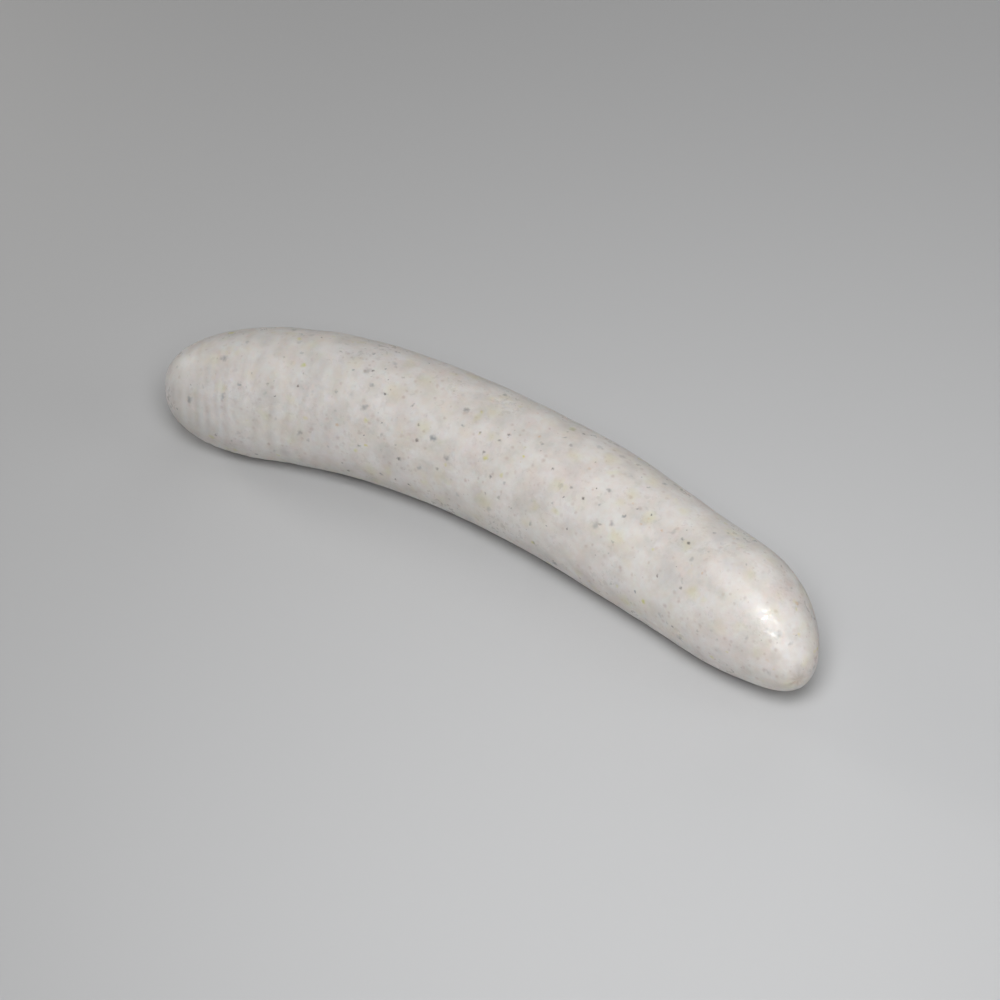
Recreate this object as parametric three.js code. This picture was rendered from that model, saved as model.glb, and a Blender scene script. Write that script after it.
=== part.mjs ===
// A white bratwurst sausage, boiled and cooled, in its natural casing.
//
// Millimetres, +Z up. It lies on its side with its bend flat on the table. X runs along the
// chord, from the blunt end on -X to the curled end on +X, and +Y is the outer side of the
// bend. The origin is on the table, under the middle of the sausage's box.
//
// The solid is a stack of rings along a bent centreline. A station is a distance along that
// centreline from the pole of the blunt end. An angle goes round a ring: 0 is the outer side
// of the bend and a quarter turn is the top.

import * as THREE from "three";

// Length and thickness
const LENGTH = 175;
const BODY_RADIUS = 15;
const TAPER = 3.2;
const SWELLS = [
  { at: 9.5, rise: -1.75, reach: 22 },
  { at: 108, rise: 0.5, reach: 19 },
  { at: 157.5, rise: 1.45, reach: 14 },
];

// Rounded ends: how far from its pole each one reaches full width and full height
const BLUNT_CAP = { width: 27, height: 23 };
const CURLED_CAP = { width: 46.5, height: 32.5 };
const CAP_POWER = 2.1;

// The bend: mostly in the blunt half, with the far end curling in on its own
const BEND = THREE.MathUtils.degToRad(49);
const BEND_LEAN = 2.8;
const CURL = THREE.MathUtils.degToRad(31);
const CURL_REACH = 23;

// The underside is pressed flat by the sausage's own weight
const PRESSED_DEPTH = 0.5;

// The casing is tucked in at the two closures: a shallow dimple with soft pleats round it
const TUCK_DEPTH = 0.35;
const TUCK_REACH = 1.3;
const PLEATS = 8;
const PLEAT_DEPTH = 0.2;
const PLEAT_REACH = 3.6;
const PLEAT_START = 1.2;

// Low swells of the filling under the casing: waves along and around the body
const LUMPS = [
  { height: 0.1, wavelength: 46, turns: 2, phase: 0.6 },
  { height: 0.08, wavelength: 31, turns: 3, phase: 2.1 },
  { height: 0.06, wavelength: 19, turns: 1, phase: 4.0 },
  { height: 0.05, wavelength: 13, turns: 4, phase: 5.2 },
];

// Soft creases across the top of the blunt half
const CREASES = [
  { at: 24, depth: 0.16, width: 2.6, angle: 1.9, spread: 0.9 },
  { at: 33, depth: 0.2, width: 3.0, angle: 1.5, spread: 1.0 },
  { at: 43, depth: 0.14, width: 2.8, angle: 1.8, spread: 0.8 },
];

// How finely the solid is divided
const RINGS = 84;
const SIDES = 48;
const TRACE_STEP = 0.25;

// Colour and finish
const SKIN_COLOUR = 0xd6cdc4;
const SKIN_ROUGHNESS = 0.42;

// A smooth hill of height 1 that has fallen to about a third at one reach from its middle.
function hill(offset, reach) {
  return Math.exp(-((offset / reach) ** 2));
}

// Radius of the body at a station, before the ends are rounded off.
function bodyRadius(station) {
  let radius = BODY_RADIUS + TAPER * (0.5 - station / LENGTH);
  for (const swell of SWELLS) {
    radius += swell.rise * hill(station - swell.at, swell.reach);
  }
  return radius;
}

// Share of the body's radius that is left at a distance from the pole of a rounded end.
function capShare(distance, capLength) {
  const inward = THREE.MathUtils.clamp(1 - distance / capLength, 0, 1);
  return (1 - inward ** CAP_POWER) ** (1 / CAP_POWER);
}

// Share of the body's width or height that the two rounded ends leave to a ring.
function endShare(station, direction) {
  return capShare(station, BLUNT_CAP[direction]) * capShare(LENGTH - station, CURLED_CAP[direction]);
}

// How far the casing is drawn into the sausage, at a distance from the line through a closure.
function tuckDepth(distance, angle) {
  const dimple = TUCK_DEPTH * hill(distance, TUCK_REACH);
  const fold = 0.5 + 0.5 * Math.cos(PLEATS * angle);
  const start = distance / (distance + PLEAT_START);
  return dimple + PLEAT_DEPTH * start * hill(distance, PLEAT_REACH) * fold;
}

// Height of the low swells of the filling, fading out towards the closures.
function lumpHeight(station, angle) {
  let height = 0;
  for (const lump of LUMPS) {
    const along = Math.sin(2 * Math.PI * station / lump.wavelength + lump.phase);
    height += lump.height * along * Math.cos(lump.turns * angle + lump.phase);
  }
  return height * endShare(station, "width");
}

// Depth of the soft creases, each across its own part of the section.
function creaseDepth(station, angle) {
  let depth = 0;
  for (const crease of CREASES) {
    const across = hill(station - crease.at, crease.width);
    depth += crease.depth * across * hill(angle - crease.angle, crease.spread);
  }
  return depth;
}

// How fast the centreline turns at a station, in radians a millimetre.
function turnRate(station) {
  const even = BEND / LENGTH * (1 + BEND_LEAN * (0.5 - station / LENGTH));
  const curl = CURL * hill(LENGTH - station, CURL_REACH) * 2 / (CURL_REACH * Math.sqrt(Math.PI));
  return even + curl;
}

// The centreline in the table's plane: points and headings at even steps, turned so that
// its two poles are level in Y.
function traceCentreline() {
  const trace = [];
  let x = 0;
  let y = 0;
  let heading = 0;
  for (let station = 0; station <= LENGTH; station += TRACE_STEP) {
    trace.push({ x, y, heading });
    const turn = TRACE_STEP * turnRate(station + TRACE_STEP / 2);
    x += TRACE_STEP * Math.cos(heading - turn / 2);
    y += TRACE_STEP * Math.sin(heading - turn / 2);
    heading -= turn;
  }
  const last = trace[trace.length - 1];
  const chord = Math.atan2(last.y, last.x);
  return trace.map((point) => ({
    x: point.x * Math.cos(chord) + point.y * Math.sin(chord),
    y: point.y * Math.cos(chord) - point.x * Math.sin(chord),
    heading: point.heading - chord,
  }));
}

// The point and heading at a station.
function centreAt(trace, station) {
  const index = Math.min(Math.floor(station / TRACE_STEP), trace.length - 2);
  const part = station / TRACE_STEP - index;
  const before = trace[index];
  const after = trace[index + 1];
  return {
    x: THREE.MathUtils.lerp(before.x, after.x, part),
    y: THREE.MathUtils.lerp(before.y, after.y, part),
    heading: THREE.MathUtils.lerp(before.heading, after.heading, part),
  };
}

// Stations of the rings, closest together where the ends round off.
function ringStations() {
  const stations = [];
  for (let i = 0; i < RINGS; i += 1) {
    stations.push(LENGTH * (1 - Math.cos(Math.PI * (i + 0.5) / RINGS)) / 2);
  }
  return stations;
}

// The point of the surface at a station and an angle.
function surfacePoint(trace, station, angle) {
  const radius = bodyRadius(station);
  const halfWidth = radius * endShare(station, "width");
  const halfHeight = radius * endShare(station, "height");
  const tuck = tuckDepth(halfWidth, angle);
  const centre = centreAt(trace, station < LENGTH / 2 ? station + tuck : station - tuck);
  const relief = lumpHeight(station, angle) - creaseDepth(station, angle);
  const outward = (halfWidth + relief) * Math.cos(angle);
  const height = radius - PRESSED_DEPTH + (halfHeight + relief) * Math.sin(angle);
  return [
    centre.x - outward * Math.sin(centre.heading),
    centre.y + outward * Math.cos(centre.heading),
    Math.max(height, 0),
  ];
}

// A closed surface: a pole, the rings, a pole.
function sausageGeometry() {
  const trace = traceCentreline();
  const stations = ringStations();
  const positions = [];
  positions.push(...surfacePoint(trace, 0, 0));
  for (const station of stations) {
    for (let side = 0; side < SIDES; side += 1) {
      positions.push(...surfacePoint(trace, station, 2 * Math.PI * side / SIDES));
    }
  }
  positions.push(...surfacePoint(trace, LENGTH, 0));

  const corner = (ring, side) => 1 + ring * SIDES + side % SIDES;
  const lastRing = stations.length - 1;
  const lastPole = positions.length / 3 - 1;
  const triangles = [];
  for (let side = 0; side < SIDES; side += 1) {
    triangles.push(0, corner(0, side + 1), corner(0, side));
    for (let ring = 0; ring < lastRing; ring += 1) {
      const a = corner(ring, side);
      const b = corner(ring, side + 1);
      const c = corner(ring + 1, side + 1);
      const d = corner(ring + 1, side);
      triangles.push(a, b, c, a, c, d);
    }
    triangles.push(lastPole, corner(lastRing, side), corner(lastRing, side + 1));
  }

  const geometry = new THREE.BufferGeometry();
  geometry.setAttribute("position", new THREE.Float32BufferAttribute(positions, 3));
  geometry.setIndex(triangles);
  geometry.computeBoundingBox();
  const box = geometry.boundingBox;
  geometry.translate(-(box.min.x + box.max.x) / 2, -(box.min.y + box.max.y) / 2, 0);
  geometry.computeVertexNormals();
  return geometry;
}

// The whole sausage is one solid.
function sausage() {
  const skin = new THREE.MeshStandardMaterial({
    color: SKIN_COLOUR,
    roughness: SKIN_ROUGHNESS,
    metalness: 0,
  });
  const mesh = new THREE.Mesh(sausageGeometry(), skin);
  mesh.name = "sausage";
  return mesh;
}

const part = new THREE.Group();
part.add(sausage());

export default part;
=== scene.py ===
"""A white bratwurst sausage in its natural casing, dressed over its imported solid.

Metres, +Z up. The sausage lies on its side with its bend flat on the floor. X runs along its
chord, from the blunt end on -X to the curled end on +X, and +Y is the outer side of the bend.
A station is a distance along the centreline from the pole of the blunt end. An angle goes round
a ring of the body: 0 is the outer side of the bend and a quarter turn is the top.
"""

import math

import bpy
from bpy.props import FloatProperty, FloatVectorProperty, IntProperty, PointerProperty
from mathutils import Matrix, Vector


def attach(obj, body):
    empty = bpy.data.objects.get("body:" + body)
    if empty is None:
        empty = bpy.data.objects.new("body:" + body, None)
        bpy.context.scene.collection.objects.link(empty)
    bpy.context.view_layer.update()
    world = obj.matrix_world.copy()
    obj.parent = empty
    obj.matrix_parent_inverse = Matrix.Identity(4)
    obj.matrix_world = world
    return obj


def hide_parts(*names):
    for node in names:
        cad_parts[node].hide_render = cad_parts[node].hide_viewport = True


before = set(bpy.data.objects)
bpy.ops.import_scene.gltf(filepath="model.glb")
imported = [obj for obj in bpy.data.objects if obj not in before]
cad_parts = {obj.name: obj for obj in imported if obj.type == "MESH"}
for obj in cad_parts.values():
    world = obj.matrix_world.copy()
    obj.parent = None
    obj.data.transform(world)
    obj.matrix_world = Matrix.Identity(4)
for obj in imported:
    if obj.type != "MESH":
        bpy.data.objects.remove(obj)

bl_info = {
    "name": "White Bratwurst",
    "version": (1, 0, 0),
    "blender": (4, 5, 0),
    "location": "3D View > Sidebar > Bratwurst",
    "description": "Builds a white bratwurst sausage and a plain stage for it",
    "category": "Add Mesh",
}

BODY = "root"
NODE = "sausage"

# Where the body is a little thicker or thinner than its taper says
SWELLS = (
    {"at": 0.0095, "rise": -0.00175, "reach": 0.022},
    {"at": 0.108, "rise": 0.0005, "reach": 0.019},
    {"at": 0.1575, "rise": 0.00145, "reach": 0.014},
)

# Low swells of the filling under the casing: waves along and around the body
LUMPS = (
    {"height": 0.0001, "wavelength": 0.046, "turns": 2, "phase": 0.6},
    {"height": 0.00008, "wavelength": 0.031, "turns": 3, "phase": 2.1},
    {"height": 0.00006, "wavelength": 0.019, "turns": 1, "phase": 4.0},
    {"height": 0.00005, "wavelength": 0.013, "turns": 4, "phase": 5.2},
)

# Soft creases across the top of the blunt half
CREASES = (
    {"at": 0.024, "depth": 0.00016, "width": 0.0026, "angle": 1.9, "spread": 0.9},
    {"at": 0.033, "depth": 0.0002, "width": 0.003, "angle": 1.5, "spread": 1.0},
    {"at": 0.043, "depth": 0.00014, "width": 0.0028, "angle": 1.8, "spread": 0.8},
)

# Fine wrinkles of the casing across the blunt half: their spacing, how far each one strays,
# and the stations up to which they are full and from which they are gone. They come in
# patches, where a noise of the given size is past the first share, and full past the second
WRINKLES = (
    {"spacing": 0.0023, "stray": 0.0022, "full": 0.012, "gone": 0.026, "seed": 71.3},
    {"spacing": 0.0041, "stray": 0.005, "full": 0.034, "gone": 0.064, "seed": 83.9},
)
WRINKLE_PATCH = 0.01
WRINKLE_SHOWN = (0.35, 0.6)

# How finely the centreline is traced, how much the rings crowd towards the two ends, from 0 to
# 1, and how near the points of the seam and the poles lie when they merge
TRACE_STEPS = 700
END_CROWDING = 0.85
MERGE_DISTANCE = 0.000002


def distance_prop(name, description, default):
    """A length in metres that the sidebar shows with its unit."""
    return FloatProperty(
        name=name, description=description, default=default, precision=5,
        subtype="DISTANCE", unit="LENGTH",
    )


def colour_prop(name, description, default):
    """A linear colour."""
    return FloatVectorProperty(
        name=name, description=description, default=default, min=0.0, max=1.0, size=3,
        subtype="COLOR",
    )


class BratwurstForm(bpy.types.PropertyGroup):
    """Sizes of the sausage's body, its two rounded ends and its bend."""

    length: distance_prop("Length", "Length along the centreline, pole to pole", 0.175)
    body_radius: distance_prop("Body Radius", "Radius halfway along", 0.015)
    taper: distance_prop("Taper", "How much more radius the blunt end has", 0.0032)
    blunt_width: distance_prop("Blunt Width Reach", "Where the blunt end has full width", 0.027)
    blunt_height: distance_prop("Blunt Height Reach", "Where the blunt end has full height", 0.023)
    curled_width: distance_prop("Curled Width Reach", "Where the curled end has full width", 0.0465)
    curled_height: distance_prop(
        "Curled Height Reach", "Where the curled end has full height", 0.0325,
    )
    cap_power: FloatProperty(
        name="End Fullness", description="2 rounds the ends as an ellipse, more makes them fuller",
        default=2.1, min=1.0,
    )
    bend: FloatProperty(
        name="Bend", description="How far the body turns from end to end",
        default=math.radians(49), subtype="ANGLE", unit="ROTATION",
    )
    bend_lean: FloatProperty(
        name="Bend Lean", description="How much of the bend is in the blunt half", default=2.8,
    )
    curl: FloatProperty(
        name="Curl", description="How much further the curled end turns in",
        default=math.radians(31), subtype="ANGLE", unit="ROTATION",
    )
    curl_reach: distance_prop("Curl Reach", "How far from its pole the curled end curls", 0.023)
    pressed_depth: distance_prop("Pressed Depth", "How much the underside is pressed flat", 0.0005)
    tuck_depth: distance_prop("Tuck Depth", "Depth of the dimple at each closure", 0.00035)
    tuck_reach: distance_prop("Tuck Reach", "How far the dimple reaches", 0.0013)
    pleats: IntProperty(
        name="Pleats", description="Folds of casing round each closure", default=8, min=0,
    )
    pleat_depth: distance_prop("Pleat Depth", "Depth of the folds", 0.0002)
    pleat_reach: distance_prop("Pleat Reach", "How far the folds run from the closure", 0.0036)
    pleat_start: distance_prop("Pleat Start", "How far from the closure the folds grow deep", 0.0012)
    grain_height: distance_prop("Grain Height", "Height of the filling's own small bumps", 0.00012)
    grain_size: distance_prop("Grain Size", "How wide those bumps are", 0.0065)
    wrinkle_height: distance_prop("Wrinkle Height", "Height of the casing's wrinkles", 0.00011)
    rings: IntProperty(name="Rings", description="Rings of points along the body", default=420, min=8)
    sides: IntProperty(name="Sides", description="Points round each ring", default=228, min=8)


class BratwurstSkin(bpy.types.PropertyGroup):
    """Colours of the filling and its herbs, seen through the casing, and of the closures, whose
    colour is partly the gathered casing's own and partly painted shade in their hollows.
    """

    flesh: colour_prop("Flesh", "Main colour of the filling", (0.62, 0.585, 0.545))
    pink: colour_prop("Pink Flesh", "Pinker parts of the filling", (0.655, 0.57, 0.53))
    cream: colour_prop("Cream Flesh", "Creamier parts of the filling", (0.67, 0.63, 0.545))
    fat: colour_prop("Fat", "Whiter parts of the filling", (0.71, 0.69, 0.665))
    grey: colour_prop("Grey Flesh", "Greyer, more see-through parts", (0.485, 0.468, 0.448))
    blush: colour_prop("Blush", "Small pinkish-brown dots", (0.40, 0.29, 0.25))
    pepper: colour_prop("Pepper", "Dark specks", (0.075, 0.062, 0.055))
    herb: colour_prop("Herb", "Blue-grey specks", (0.12, 0.142, 0.15))
    mustard: colour_prop("Mustard", "Yellow flecks", (0.57, 0.54, 0.12))
    spice: colour_prop("Spice", "Orange flecks", (0.58, 0.36, 0.17))
    # Closure is partly the gathered casing's own brownish colour and partly painted shade, laid into
    # the dimple and folds at each end
    closure: colour_prop("Closure", "Casing gathered at the ends", (0.42, 0.34, 0.28))


class BratwurstStage(bpy.types.PropertyGroup):
    """The floor, the lights and the camera."""

    floor: colour_prop("Floor", "Colour of the floor", (0.54, 0.54, 0.54))
    azimuth: FloatProperty(
        name="Camera Azimuth", description="Turn round the sausage, from -Y towards +X",
        default=math.radians(33.6), subtype="ANGLE", unit="ROTATION",
    )
    elevation: FloatProperty(
        name="Camera Elevation", description="Angle at which the camera looks down",
        default=math.radians(42), subtype="ANGLE", unit="ROTATION",
    )
    position: FloatVectorProperty(
        name="Camera Position", description="Where the camera stands", size=3,
        default=(0.30671, -0.46434, 0.5107), subtype="TRANSLATION", unit="LENGTH",
    )
    lens: FloatProperty(
        name="Lens", description="Focal length in millimetres on a 36 mm sensor", default=121.41,
    )


class Wire:
    """A value inside a node tree, which adds and multiplies like a plain number."""

    def __init__(self, bench, socket):
        self.bench = bench
        self.socket = socket

    def __add__(self, other):
        return self.bench.math("ADD", self, other)

    def __radd__(self, other):
        return self.bench.math("ADD", other, self)

    def __sub__(self, other):
        return self.bench.math("SUBTRACT", self, other)

    def __rsub__(self, other):
        return self.bench.math("SUBTRACT", other, self)

    def __mul__(self, other):
        return self.bench.math("MULTIPLY", self, other)

    def __rmul__(self, other):
        return self.bench.math("MULTIPLY", other, self)

    def __truediv__(self, other):
        return self.bench.math("DIVIDE", self, other)

    def __rtruediv__(self, other):
        return self.bench.math("DIVIDE", other, self)

    def __pow__(self, other):
        return self.bench.math("POWER", self, other)

    def __neg__(self):
        return self.bench.math("MULTIPLY", self, -1.0)


class Bench:
    """Places nodes in one tree and plugs wires, sockets and plain values into them."""

    NODES_IN_A_COLUMN = 12
    COLUMN_WIDTH = 220
    ROW_HEIGHT = 170

    def __init__(self, tree):
        self.tree = tree

    def node(self, kind, inputs=None, **settings):
        made = self.tree.nodes.new(kind)
        column, row = divmod(len(self.tree.nodes) - 1, self.NODES_IN_A_COLUMN)
        made.location = (column * self.COLUMN_WIDTH, -row * self.ROW_HEIGHT)
        for name, value in settings.items():
            setattr(made, name, value)
        for key, value in (inputs or {}).items():
            self.plug(made.inputs[key], value)
        return made

    def plug(self, socket, value):
        if isinstance(value, Wire):
            value = value.socket
        if isinstance(value, bpy.types.NodeSocket):
            self.tree.links.new(value, socket)
        else:
            socket.default_value = value

    def math(self, operation, *values):
        node = self.node("ShaderNodeMath", dict(enumerate(values)), operation=operation)
        return Wire(self, node.outputs[0])

    def vector_math(self, operation, *values, scale=None):
        inputs = dict(enumerate(values))
        if scale is not None:
            inputs["Scale"] = scale
        return self.node("ShaderNodeVectorMath", inputs, operation=operation).outputs["Vector"]

    def vector(self, x, y, z):
        return self.node("ShaderNodeCombineXYZ", {"X": x, "Y": y, "Z": z}).outputs[0]

    def parts(self, vector):
        node = self.node("ShaderNodeSeparateXYZ", {0: vector})
        return tuple(Wire(self, output) for output in node.outputs)

    def limit(self, value, low, high):
        return self.math("MINIMUM", self.math("MAXIMUM", value, low), high)

    def hill(self, offset, reach):
        """A smooth hill of height 1 that has fallen to about a third at one reach from its middle."""
        return self.math("EXPONENT", -((offset / reach) ** 2.0))

    def ramp(self, value, start, end, low=0.0, high=1.0):
        """Goes smoothly from low to high as the value goes from start to end."""
        node = self.node(
            "ShaderNodeMapRange",
            {"Value": value, "From Min": start, "From Max": end, "To Min": low, "To Max": high},
            interpolation_type="SMOOTHSTEP",
        )
        return Wire(self, node.outputs["Result"])

    def blend(self, share, first, second):
        """The first colour where the share is 0 and the second where it is 1."""
        node = self.node("ShaderNodeMix", data_type="RGBA", blend_type="MIX", clamp_factor=True)
        self.plug(node.inputs["Factor"], share)
        colours = [socket for socket in node.inputs if socket.type == "RGBA"]
        self.plug(colours[0], colour_value(first))
        self.plug(colours[1], colour_value(second))
        return next(socket for socket in node.outputs if socket.type == "RGBA")


def colour_value(colour):
    """A colour socket as it is, and three numbers with their alpha added."""
    if isinstance(colour, bpy.types.NodeSocket):
        return colour
    return (*colour[:3], 1.0)


def add_form_inputs(tree, form):
    """Gives the tree one named input for each size of the form. Returns the sockets by property."""
    sockets = {}
    for prop in form.bl_rna.properties:
        if prop.identifier in {"rna_type", "name"}:
            continue
        kind = "NodeSocketInt" if prop.type == "INT" else "NodeSocketFloat"
        socket = tree.interface.new_socket(name=prop.name, in_out="INPUT", socket_type=kind)
        if prop.subtype in {"DISTANCE", "ANGLE"}:
            socket.subtype = prop.subtype
        socket.default_value = getattr(form, prop.identifier)
        sockets[prop.identifier] = socket
    return sockets


def body_radius(bench, size, station):
    """Radius of the body at a station, before the ends are rounded off."""
    radius = size["body_radius"] + size["taper"] * (0.5 - station / size["length"])
    for swell in SWELLS:
        radius = radius + swell["rise"] * bench.hill(station - swell["at"], swell["reach"])
    return radius


def cap_share(bench, size, distance, reach):
    """Share of the radius that is left at a distance from the pole of a rounded end."""
    inward = bench.limit(1.0 - distance / reach, 0.0, 1.0)
    return (1.0 - inward ** size["cap_power"]) ** (1.0 / size["cap_power"])


def tuck_depth(bench, size, distance, angle):
    """How far the casing is drawn in, at a distance from the line through a closure."""
    dimple = size["tuck_depth"] * bench.hill(distance, size["tuck_reach"])
    start = distance / (distance + size["pleat_start"])
    fold = 0.5 + 0.5 * bench.math("COSINE", size["pleats"] * angle)
    return dimple + size["pleat_depth"] * start * bench.hill(distance, size["pleat_reach"]) * fold


def lump_height(bench, station, angle):
    """Height of the filling's low swells."""
    height = None
    for lump in LUMPS:
        along = bench.math("SINE", station * (2 * math.pi / lump["wavelength"]) + lump["phase"])
        around = bench.math("COSINE", angle * float(lump["turns"]) + lump["phase"])
        wave = along * around * lump["height"]
        height = wave if height is None else height + wave
    return height


def crease_depth(bench, station, angle):
    """Depth of the soft creases, each across its own part of the section."""
    depth = None
    for crease in CREASES:
        across = bench.hill(station - crease["at"], crease["width"])
        turned = bench.math("WRAP", angle - crease["angle"], math.pi, -math.pi)
        around = bench.hill(turned, crease["spread"])
        dip = across * around * crease["depth"]
        depth = dip if depth is None else depth + dip
    return depth


def wrinkles(bench, station, place):
    """The casing's wrinkles: 0 between them, 1 on top of one, and more where two rows meet."""
    folds = None
    for wrinkle in WRINKLES:
        noise = bench.node(
            "ShaderNodeTexNoise",
            {"Vector": place, "W": wrinkle["seed"], "Scale": 1.0 / WRINKLE_PATCH, "Detail": 2.0},
            noise_dimensions="4D",
        )
        stray, shown, _ = bench.parts(noise.outputs["Color"])
        strayed = station + (stray - 0.5) * wrinkle["stray"]
        wave = bench.math("SINE", strayed * (2 * math.pi / wrinkle["spacing"]))
        shown = bench.ramp(shown, *WRINKLE_SHOWN)
        shown = shown * bench.ramp(station, wrinkle["gone"], wrinkle["full"])
        fold = (wave * 0.5 + 0.5) * shown
        folds = fold if folds is None else folds + fold
    return folds


def turn_rate(bench, size, station):
    """How fast the centreline turns at a station, in radians a metre."""
    lean = 1.0 + size["bend_lean"] * (0.5 - station / size["length"])
    even = size["bend"] / size["length"] * lean
    steepest = size["curl"] * (2.0 / math.sqrt(math.pi)) / size["curl_reach"]
    return even + steepest * bench.hill(size["length"] - station, size["curl_reach"])


def trace_centreline(bench, size):
    """A curve along the middle of the body, in the floor's plane, with its two poles level in Y."""
    step = size["length"] / float(TRACE_STEPS)
    line = bench.node("GeometryNodeMeshLine", {"Count": TRACE_STEPS + 1}, mode="OFFSET")
    index = Wire(bench, bench.node("GeometryNodeInputIndex").outputs[0])
    turn = step * turn_rate(bench, size, (index + 0.5) * step)
    turned = bench.node("GeometryNodeAccumulateField", {"Value": turn}, data_type="FLOAT")
    heading = -Wire(bench, turned.outputs["Trailing"]) - turn * 0.5
    onward = bench.vector(
        step * bench.math("COSINE", heading), step * bench.math("SINE", heading), 0.0,
    )
    walked = bench.node("GeometryNodeAccumulateField", {"Value": onward}, data_type="FLOAT_VECTOR")
    placed = bench.node(
        "GeometryNodeSetPosition",
        {"Geometry": line.outputs["Mesh"], "Position": walked.outputs["Trailing"]},
    )
    position = bench.node("GeometryNodeInputPosition").outputs[0]
    last = bench.node(
        "GeometryNodeSampleIndex",
        {"Geometry": placed.outputs[0], "Value": position, "Index": TRACE_STEPS},
        data_type="FLOAT_VECTOR",
    )
    far_x, far_y, _ = bench.parts(last.outputs["Value"])
    chord = bench.math("ARCTAN2", far_y, far_x)
    levelled = bench.node(
        "GeometryNodeTransform",
        {"Geometry": placed.outputs[0], "Rotation": bench.vector(0.0, 0.0, -chord)},
    )
    return bench.node("GeometryNodeMeshToCurve", {"Mesh": levelled.outputs[0]}).outputs[0]


def body_grid(bench, size):
    """A grid with one row of points for each ring of the body, and each point's station and angle."""
    grid = bench.node(
        "GeometryNodeMeshGrid",
        {
            "Size X": 1.0, "Size Y": 1.0,
            "Vertices X": size["rings"], "Vertices Y": size["sides"] + 1.0,
        },
    )
    along, around, _ = bench.parts(bench.node("GeometryNodeInputPosition").outputs[0])
    even = along + 0.5
    crowded = 0.5 - 0.5 * bench.math("COSINE", even * math.pi)
    share = even + END_CROWDING * (crowded - even)
    station = share * size["length"]
    angle = (around + 0.5) * (2 * math.pi)
    kept = bench.node("GeometryNodeCaptureAttribute", {"Geometry": grid.outputs["Mesh"]})
    kept.capture_items.new("FLOAT", "Station")
    kept.capture_items.new("FLOAT", "Angle")
    bench.plug(kept.inputs["Station"], station)
    bench.plug(kept.inputs["Angle"], angle)
    station = Wire(bench, kept.outputs["Station"])
    angle = Wire(bench, kept.outputs["Angle"])
    return kept.outputs["Geometry"], station, angle


def relief_height(bench, size, station, angle, width_share, place):
    """How far the surface stands off the smooth body, and the wrinkles that have a part in it."""
    grain = bench.node(
        "ShaderNodeTexNoise",
        {
            "Vector": place, "Scale": 1.0 / size["grain_size"],
            "Detail": 2.0, "Roughness": 0.55,
        },
    )
    bumps = Wire(bench, grain.outputs[0]) * 2.0 - 1.0
    folds = wrinkles(bench, station, place)
    relief = (
        lump_height(bench, station, angle) * width_share
        - crease_depth(bench, station, angle)
    )
    relief = relief + size["grain_height"] * width_share * bumps
    relief = relief + size["wrinkle_height"] * width_share * folds
    return relief, folds


def finished_body(bench, geometry, marks, skin):
    """The shaped grid with its box centred, its marks stored, its seam closed and its skin on."""
    box = bench.node("GeometryNodeBoundBox", {"Geometry": geometry})
    middle = bench.vector_math("ADD", box.outputs["Min"], box.outputs["Max"])
    middle_x, middle_y, _ = bench.parts(middle)
    centred = bench.node(
        "GeometryNodeTransform",
        {
            "Geometry": geometry,
            "Translation": bench.vector(middle_x * -0.5, middle_y * -0.5, 0.0),
        },
    )
    marked = centred.outputs[0]
    for name, value in marks.items():
        marked = bench.node(
            "GeometryNodeStoreNamedAttribute",
            {"Geometry": marked, "Name": name, "Value": value},
            data_type="FLOAT", domain="POINT",
        ).outputs[0]
    closed = bench.node(
        "GeometryNodeMergeByDistance", {"Geometry": marked, "Distance": MERGE_DISTANCE},
    )
    outwards = bench.node("GeometryNodeFlipFaces", {"Mesh": closed.outputs[0]})
    smooth = bench.node("GeometryNodeSetShadeSmooth", {"Geometry": outwards.outputs[0]})
    real = bench.node("GeometryNodeRealizeInstances", {"Geometry": smooth.outputs[0]})
    covered = bench.node(
        "GeometryNodeSetMaterial", {"Geometry": real.outputs[0], "Material": skin},
    )
    return covered.outputs[0]


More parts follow.
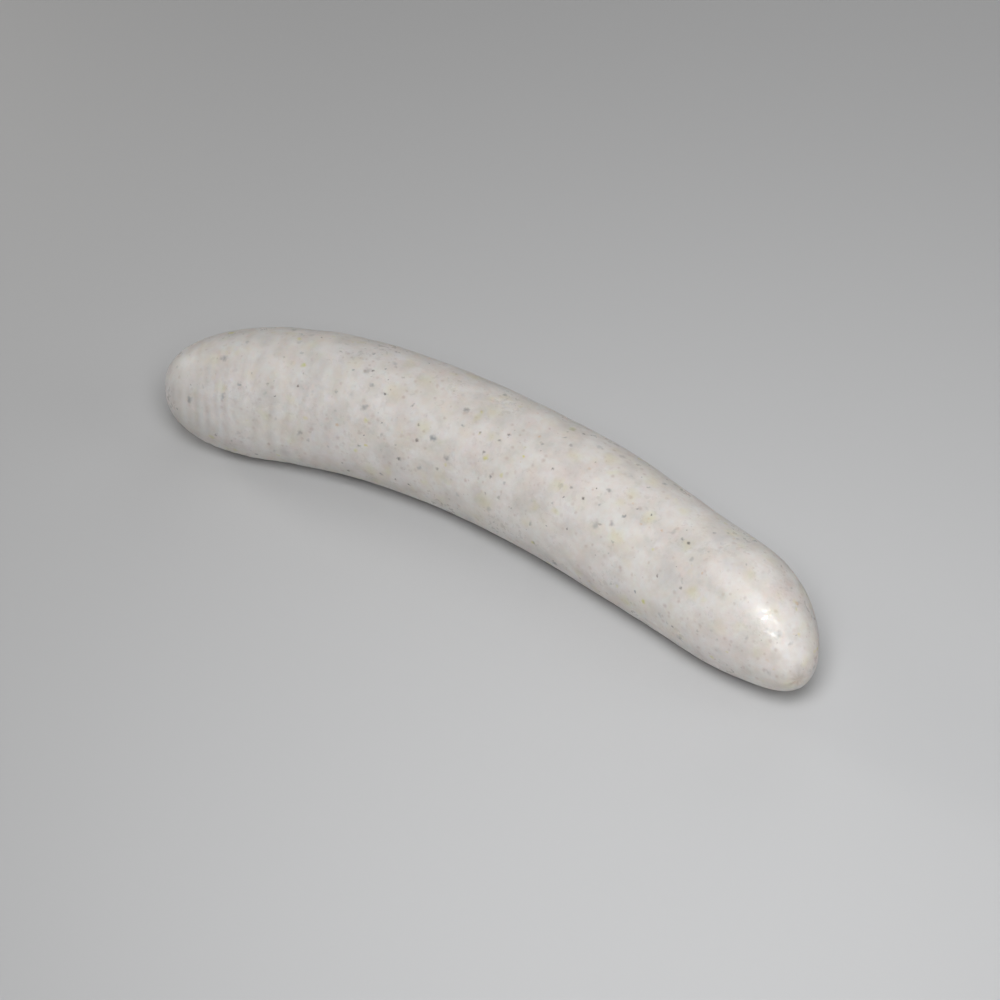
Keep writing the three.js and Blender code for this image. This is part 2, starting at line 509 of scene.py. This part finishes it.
def sausage_tree(form, skin):
    """The node tree that builds the body, and its size inputs by property."""
    tree = bpy.data.node_groups.new("BratwurstBody", "GeometryNodeTree")
    inputs = add_form_inputs(tree, form)
    tree.interface.new_socket(name="Geometry", in_out="OUTPUT", socket_type="NodeSocketGeometry")
    bench = Bench(tree)
    given = bench.node("NodeGroupInput")
    size = {name: Wire(bench, given.outputs[index]) for index, name in enumerate(inputs)}

    grid, station, angle = body_grid(bench, size)
    from_curled = size["length"] - station
    radius = body_radius(bench, size, station)
    width_share = (
        cap_share(bench, size, station, size["blunt_width"])
        * cap_share(bench, size, from_curled, size["curled_width"])
    )
    height_share = (
        cap_share(bench, size, station, size["blunt_height"])
        * cap_share(bench, size, from_curled, size["curled_height"])
    )
    half_width = radius * width_share
    half_height = radius * height_share

    tuck = tuck_depth(bench, size, half_width, angle)
    inwards = bench.math("SIGN", from_curled - station)
    sample = bench.node(
        "GeometryNodeSampleCurve",
        {"Curves": trace_centreline(bench, size), "Length": station + inwards * tuck},
        mode="LENGTH",
    )
    ahead_x, ahead_y, _ = bench.parts(sample.outputs["Tangent"])
    centre_x, centre_y, _ = bench.parts(sample.outputs["Position"])

    cosine = bench.math("COSINE", angle)
    sine = bench.math("SINE", angle)
    rough_place = bench.vector(
        centre_x - half_width * cosine * ahead_y,
        centre_y + half_width * cosine * ahead_x,
        half_height * sine,
    )
    relief, folds = relief_height(bench, size, station, angle, width_share, rough_place)
    outward = (half_width + relief) * cosine
    up = (half_height + relief) * sine
    height = bench.math("MAXIMUM", radius - size["pressed_depth"] + up, 0.0)
    place = bench.vector(centre_x - outward * ahead_y, centre_y + outward * ahead_x, height)
    shaped = bench.node("GeometryNodeSetPosition", {"Geometry": grid, "Position": place})
    # The tuck mark, how deep the casing is drawn in, also lays the closure's colour and its painted
    # shade into the dimple and folds
    marks = {"fold": folds, "tuck": tuck / size["tuck_depth"]}
    bench.node("NodeGroupOutput", {0: finished_body(bench, shaped.outputs[0], marks, skin)})
    return tree, inputs


def plain_mesh(name, tree, inputs, values):
    """An object with the tree's result as a plain mesh, at the origin."""
    carrier = bpy.data.objects.new(name, bpy.data.meshes.new(name))
    bpy.context.scene.collection.objects.link(carrier)
    modifier = carrier.modifiers.new(name, "NODES")
    modifier.node_group = tree
    for prop, socket in inputs.items():
        modifier[socket.identifier] = getattr(values, prop)
    graph = bpy.context.evaluated_depsgraph_get()
    mesh = bpy.data.meshes.new_from_object(carrier.evaluated_get(graph))
    carrier.modifiers.clear()
    carrier.data = mesh
    mesh.name = name
    return carrier


def shader_group(name, inputs, outputs):
    """A new shader node group that takes a vector and some numbers, and gives out numbers."""
    tree = bpy.data.node_groups.new(name, "ShaderNodeTree")
    tree.interface.new_socket(name="Vector", in_out="INPUT", socket_type="NodeSocketVector")
    for label, value in inputs.items():
        socket = tree.interface.new_socket(
            name=label, in_out="INPUT", socket_type="NodeSocketFloat",
        )
        socket.default_value = value
    for label in outputs:
        tree.interface.new_socket(name=label, in_out="OUTPUT", socket_type="NodeSocketFloat")
    return tree


# The ragged edge of a speck: how many bumps its noise has in the largest radius, and what
# brings the noise's small swing up to the full raggedness. The seed moves the pattern along
# X, Y and Z by different amounts
RAGGED_BUMPS = 0.7
RAGGED_REACH = 4.0
SEED_SHIFT = (1.0, 1.7, 2.3)


def speck_group():
    """Round specks of random size and place, ragged at their edges, as a mask and a tone each."""
    numbers = {
        "Spacing": 0.004, "Smallest": 0.0002, "Largest": 0.0005,
        "Softness": 0.3, "Ragged": 0.0002, "Seed": 0.0,
    }
    tree = shader_group("BratwurstSpecks", numbers, ("Mask", "Tone"))
    bench = Bench(tree)
    given = bench.node("NodeGroupInput")
    spacing, smallest, largest, softness, ragged, seed = (
        Wire(bench, given.outputs[label]) for label in numbers
    )
    noise = bench.node(
        "ShaderNodeTexNoise",
        {"Vector": given.outputs["Vector"], "Scale": RAGGED_BUMPS / largest, "Detail": 1.0},
    )
    wander = bench.vector_math("SUBTRACT", noise.outputs["Color"], (0.5, 0.5, 0.5))
    wander = bench.vector_math("SCALE", wander, scale=ragged * RAGGED_REACH)
    strayed = bench.vector_math("ADD", given.outputs["Vector"], wander)
    cells = bench.vector_math("SCALE", strayed, scale=1.0 / spacing)
    shift = bench.vector(*(seed * step for step in SEED_SHIFT))
    cells = bench.vector_math("ADD", cells, shift)
    voronoi = bench.node(
        "ShaderNodeTexVoronoi", {"Vector": cells, "Scale": 1.0, "Randomness": 1.0},
        feature="F1", voronoi_dimensions="3D",
    )
    draw_size, draw_tone, _ = bench.parts(voronoi.outputs["Color"])
    radius = smallest + (largest - smallest) * draw_size * draw_size
    distance = Wire(bench, voronoi.outputs["Distance"]) * spacing
    mask = bench.ramp(distance, radius * (1.0 + softness), radius * (1.0 - softness))
    bench.node("NodeGroupOutput", {"Mask": mask, "Tone": draw_tone})
    return tree


def mottle_group():
    """Cloudy patches from 0 to 1, of a given size and with edges of a given softness."""
    numbers = {"Size": 0.004, "Detail": 2.0, "Softness": 0.25, "Seed": 0.0}
    tree = shader_group("BratwurstMottle", numbers, ("Value",))
    bench = Bench(tree)
    given = bench.node("NodeGroupInput")
    size, detail, softness, seed = (Wire(bench, given.outputs[label]) for label in numbers)
    noise = bench.node(
        "ShaderNodeTexNoise",
        {
            "Vector": given.outputs["Vector"], "Scale": 1.0 / size, "W": seed,
            "Detail": detail, "Roughness": 0.55,
        },
        noise_dimensions="4D",
    )
    value = bench.ramp(noise.outputs[0], 0.5 - softness, 0.5 + softness)
    bench.node("NodeGroupOutput", {"Value": value})
    return tree


# Cloudy patches of the filling: the colour that each one brings in, the size of its patches in
# metres, how soft their edges are and how much they cover
CLOUDS = (
    {"colour": "pink", "size": 0.0078, "detail": 4.0, "softness": 0.1, "seed": 1.3, "cover": 0.85},
    {"colour": "cream", "size": 0.0125, "detail": 4.0, "softness": 0.1, "seed": 8.6, "cover": 0.85},
    {"colour": "grey", "size": 0.0064, "detail": 4.0, "softness": 0.17, "seed": 27.4, "cover": 0.62},
    {"colour": "fat", "size": 0.0046, "detail": 4.0, "softness": 0.15, "seed": 15.2, "cover": 0.85},
    {"colour": "pink", "size": 0.0013, "detail": 3.0, "softness": 0.14, "seed": 33.8, "cover": 0.38},
    {"colour": "fat", "size": 0.0007, "detail": 2.0, "softness": 0.17, "seed": 21.5, "cover": 0.15},
)

# Specks seen through the casing: their spacing, radii and raggedness in metres, how soft their
# edges are as a share of the radius, and how much each kind covers the filling
SPECKS = (
    {"colour": "grey", "spacing": 0.0065, "smallest": 0.0009, "largest": 0.0024,
     "softness": 0.9, "ragged": 0.0008, "seed": 5.3, "cover": 0.5},
    {"colour": "blush", "spacing": 0.0016, "smallest": 0.00009, "largest": 0.00045,
     "softness": 0.8, "ragged": 0.0001, "seed": 3.1, "cover": 0.45},
    {"colour": "mustard", "spacing": 0.0058, "smallest": 0.0008, "largest": 0.0019,
     "softness": 0.9, "ragged": 0.0007, "seed": 23.9, "cover": 0.24},
    {"colour": "mustard", "spacing": 0.006, "smallest": 0.0003, "largest": 0.0008,
     "softness": 0.6, "ragged": 0.0003, "seed": 29.1, "cover": 0.8},
    {"colour": "spice", "spacing": 0.0046, "smallest": 0.00015, "largest": 0.00045,
     "softness": 0.6, "ragged": 0.00015, "seed": 37.2, "cover": 0.6},
    {"colour": "herb", "spacing": 0.0044, "smallest": 0.0003, "largest": 0.00072,
     "softness": 0.8, "ragged": 0.00038, "seed": 11.4, "cover": 0.66},
    {"colour": "pepper", "spacing": 0.0033, "smallest": 0.00015, "largest": 0.0004,
     "softness": 0.55, "ragged": 0.00018, "seed": 51.7, "cover": 0.85},
)

# How strongly the faintest speck shows, as a share of the strongest
FAINTEST_SPECK = 0.4

# How much of the whiter colour the wrinkles take, and of the closure's colour the tucked
# casing takes: a part everywhere, and more in patches. The tucked share follows how deep the
# casing is drawn in, so it is partly the gathered casing's colour and partly painted shade
WRINKLE_TINT = 0.45
TUCK_TINT = 0.35
TUCK_TINT_IN_PATCHES = 0.5

# Patches of the casing: their size in metres, detail, softness and seed
TUCK_PATCHES = (0.0018, 3.0, 0.2, 92.0)
FINE_BUMPS = (0.0012, 3.0, 0.35, 31.0)
BROAD_BUMPS = (0.0036, 2.0, 0.35, 44.0)
MOIST_PATCHES = (0.009, 3.0, 0.15, 61.0)
DROPS = (0.0014, 2.0, 0.12, 66.0)

# The casing's bumps in metres, its gloss where it is dry, and what moisture and drops add
BUMP_HEIGHT = 0.0002
FINE_BUMP_SHARE = 0.3
DROP_SPARSENESS = 3.0
DRY_ROUGHNESS = 0.5
DROP_SHINE = 0.32
DRY_COAT = 0.38
MOIST_COAT = 0.42
COAT_ROUGHNESS = 0.46

# How far light wanders under the casing, in metres, and the share of that for red, green and blue
LIGHT_DEPTH = 0.003
LIGHT_DEPTH_BY_COLOUR = (1.0, 0.55, 0.35)


def casing_material(skin):
    """Pale filling with specks of herb and spice under a moist natural casing."""
    material = bpy.data.materials.new("BratwurstCasing")
    material.use_nodes = True
    tree = material.node_tree
    tree.nodes.clear()
    bench = Bench(tree)
    place = bench.node("ShaderNodeTexCoord").outputs["Object"]
    mottle, specks = mottle_group(), speck_group()

    def clouds(size, detail, softness, seed):
        given = {
            "Vector": place, "Size": size, "Detail": detail, "Softness": softness, "Seed": seed,
        }
        node = bench.node("ShaderNodeGroup", given, node_tree=mottle)
        return Wire(bench, node.outputs["Value"])

    colour = colour_value(skin.flesh)
    for patch in CLOUDS:
        share = clouds(patch["size"], patch["detail"], patch["softness"], patch["seed"])
        colour = bench.blend(share * patch["cover"], colour, getattr(skin, patch["colour"]))
    for speck in SPECKS:
        given = {
            "Vector": place, "Spacing": speck["spacing"], "Smallest": speck["smallest"],
            "Largest": speck["largest"], "Softness": speck["softness"],
            "Ragged": speck["ragged"], "Seed": speck["seed"],
        }
        node = bench.node("ShaderNodeGroup", given, node_tree=specks)
        tone = Wire(bench, node.outputs["Tone"])
        strength = FAINTEST_SPECK + (1.0 - FAINTEST_SPECK) * tone
        cover = Wire(bench, node.outputs["Mask"]) * strength * speck["cover"]
        colour = bench.blend(cover, colour, getattr(skin, speck["colour"]))

    fold = Wire(bench, bench.node("ShaderNodeAttribute", attribute_name="fold").outputs["Fac"])
    colour = bench.blend(fold * WRINKLE_TINT, colour, skin.fat)
    # Painted shade: the closure's darker colour is laid in by how deep the casing is drawn in, in the
    # dimple and the valleys of its folds; partly it is also the gathered casing's own colour
    tuck = Wire(bench, bench.node("ShaderNodeAttribute", attribute_name="tuck").outputs["Fac"])
    closure_shade_share = TUCK_TINT + TUCK_TINT_IN_PATCHES * clouds(*TUCK_PATCHES)
    colour = bench.blend(tuck * closure_shade_share, colour, skin.closure)

    bumps = clouds(*FINE_BUMPS) * FINE_BUMP_SHARE + clouds(*BROAD_BUMPS) * (1.0 - FINE_BUMP_SHARE)
    bump = bench.node(
        "ShaderNodeBump", {"Strength": 1.0, "Distance": BUMP_HEIGHT, "Height": bumps},
    )
    moist = clouds(*MOIST_PATCHES)
    drops = moist * clouds(*DROPS) ** DROP_SPARSENESS
    shader = bench.node(
        "ShaderNodeBsdfPrincipled",
        {
            "Base Color": colour,
            "Roughness": DRY_ROUGHNESS - DROP_SHINE * drops,
            "IOR": 1.45,
            "Subsurface Weight": 0.35,
            "Subsurface Radius": LIGHT_DEPTH_BY_COLOUR,
            "Subsurface Scale": LIGHT_DEPTH,
            "Coat Weight": DRY_COAT + MOIST_COAT * moist,
            "Coat Roughness": COAT_ROUGHNESS,
            "Coat IOR": 1.5,
            "Normal": bump.outputs[0],
        },
    )
    bench.node("ShaderNodeOutputMaterial", {"Surface": shader.outputs[0]})
    return material


def plain_material(name, colour, roughness):
    """A matt surface for the stage."""
    material = bpy.data.materials.new(name)
    material.use_nodes = True
    shader = material.node_tree.nodes["Principled BSDF"]
    shader.inputs["Base Color"].default_value = colour_value(colour)
    shader.inputs["Roughness"].default_value = roughness
    return material


class BRATWURST_OT_body(bpy.types.Operator):
    """Build the sausage with its casing"""

    bl_idname = "bratwurst.body"
    bl_label = "Build Sausage"

    def execute(self, context):
        scene = context.scene
        skin = casing_material(scene.bratwurst_skin)
        tree, inputs = sausage_tree(scene.bratwurst_form, skin)
        body = plain_mesh("sausage_casing", tree, inputs, scene.bratwurst_form)
        if not body.data.polygons:
            raise RuntimeError("the sausage came out with no faces")
        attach(body, BODY)
        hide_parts(NODE)
        return {"FINISHED"}


# Soft lights: where each stands and what it faces, the side of its square, how wide it spreads
# in degrees, its power in watts and its colour
LIGHTS = (
    {"name": "key", "at": (0.19, -0.272, 0.43), "aim": (0.078, 0.0, 0.015), "side": 0.24,
     "spread": 90, "power": 0.68, "colour": (0.975, 0.985, 1.0)},
    {"name": "side", "at": (0.42, 0.12, 0.3), "aim": (0.0, 0.0, 0.015), "side": 0.25,
     "spread": 180, "power": 0.23, "colour": (1.0, 1.0, 1.0)},
    {"name": "ceiling", "at": (-0.1, 0.5, 1.6), "aim": (-0.1, 0.1, 0.0), "side": 2.0,
     "spread": 180, "power": 3.1, "colour": (1.0, 1.0, 1.0)},
    {"name": "low", "at": (-0.42, -0.02, 0.16), "aim": (-0.08, 0.0, 0.015), "side": 0.12,
     "spread": 180, "power": 0.33, "colour": (1.0, 0.975, 0.94)},
    {"name": "back", "at": (-0.1, 0.55, 0.3), "aim": (0.0, 0.0, 0.015), "side": 0.4,
     "spread": 180, "power": 0.38, "colour": (1.0, 1.0, 1.0)},
)
WORLD_COLOUR = (1.0, 0.99, 0.985)
WORLD_STRENGTH = 0.055
FLOOR_SIDE = 6.0
FLOOR_ROUGHNESS = 0.6
SENSOR_WIDTH = 36.0
NEAREST_SEEN = 0.01


def add_light(name, at, aim, side, spread, power, colour):
    """A square soft light that faces its aim."""
    data = bpy.data.lights.new(name, "AREA")
    data.shape = "SQUARE"
    data.size = side
    data.spread = math.radians(spread)
    data.energy = power
    data.color = colour
    light = bpy.data.objects.new(name, data)
    light.location = at
    light.rotation_euler = (Vector(aim) - Vector(at)).to_track_quat("-Z", "Y").to_euler()
    bpy.context.scene.collection.objects.link(light)


class BRATWURST_OT_stage(bpy.types.Operator):
    """Set up the pale floor, the soft lights and the camera"""

    bl_idname = "bratwurst.stage"
    bl_label = "Set Up Stage"

    def execute(self, context):
        scene = context.scene
        stage = scene.bratwurst_stage
        half = FLOOR_SIDE / 2
        mesh = bpy.data.meshes.new("floor")
        corners = [(-half, -half, 0), (half, -half, 0), (half, half, 0), (-half, half, 0)]
        mesh.from_pydata(corners, [], [(0, 1, 2, 3)])
        mesh.materials.append(plain_material("StageFloor", stage.floor, FLOOR_ROUGHNESS))
        floor = bpy.data.objects.new("floor", mesh)
        scene.collection.objects.link(floor)

        for light in LIGHTS:
            add_light(**light)
        world = bpy.data.worlds.new("studio")
        world.use_nodes = True
        background = world.node_tree.nodes["Background"]
        background.inputs["Color"].default_value = colour_value(WORLD_COLOUR)
        background.inputs["Strength"].default_value = WORLD_STRENGTH
        scene.world = world
        scene.view_settings.view_transform = "Standard"

        data = bpy.data.cameras.new("camera")
        data.lens = stage.lens
        data.sensor_width = SENSOR_WIDTH
        data.clip_start = NEAREST_SEEN
        camera = bpy.data.objects.new("camera", data)
        camera.location = stage.position
        camera.rotation_euler = (math.pi / 2 - stage.elevation, 0.0, stage.azimuth)
        scene.collection.objects.link(camera)
        scene.camera = camera
        return {"FINISHED"}


class BRATWURST_PT_sidebar(bpy.types.Panel):
    """Lists what builds the sausage and its stage"""

    bl_label = "Bratwurst"
    bl_idname = "BRATWURST_PT_sidebar"
    bl_space_type = "VIEW_3D"
    bl_region_type = "UI"
    bl_category = "Bratwurst"

    def draw(self, context):
        for operator in (BRATWURST_OT_body, BRATWURST_OT_stage):
            self.layout.operator(operator.bl_idname)


CLASSES = (
    BratwurstForm,
    BratwurstSkin,
    BratwurstStage,
    BRATWURST_OT_body,
    BRATWURST_OT_stage,
    BRATWURST_PT_sidebar,
)


def register():
    for made in CLASSES:
        bpy.utils.register_class(made)
    bpy.types.Scene.bratwurst_form = PointerProperty(type=BratwurstForm)
    bpy.types.Scene.bratwurst_skin = PointerProperty(type=BratwurstSkin)
    bpy.types.Scene.bratwurst_stage = PointerProperty(type=BratwurstStage)


def unregister():
    del bpy.types.Scene.bratwurst_stage
    del bpy.types.Scene.bratwurst_skin
    del bpy.types.Scene.bratwurst_form
    for made in reversed(CLASSES):
        bpy.utils.unregister_class(made)


def main():
    """Builds everything."""
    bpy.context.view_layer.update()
    register()
    bpy.ops.bratwurst.body()
    bpy.ops.bratwurst.stage()


if __name__ == "__main__":
    main()
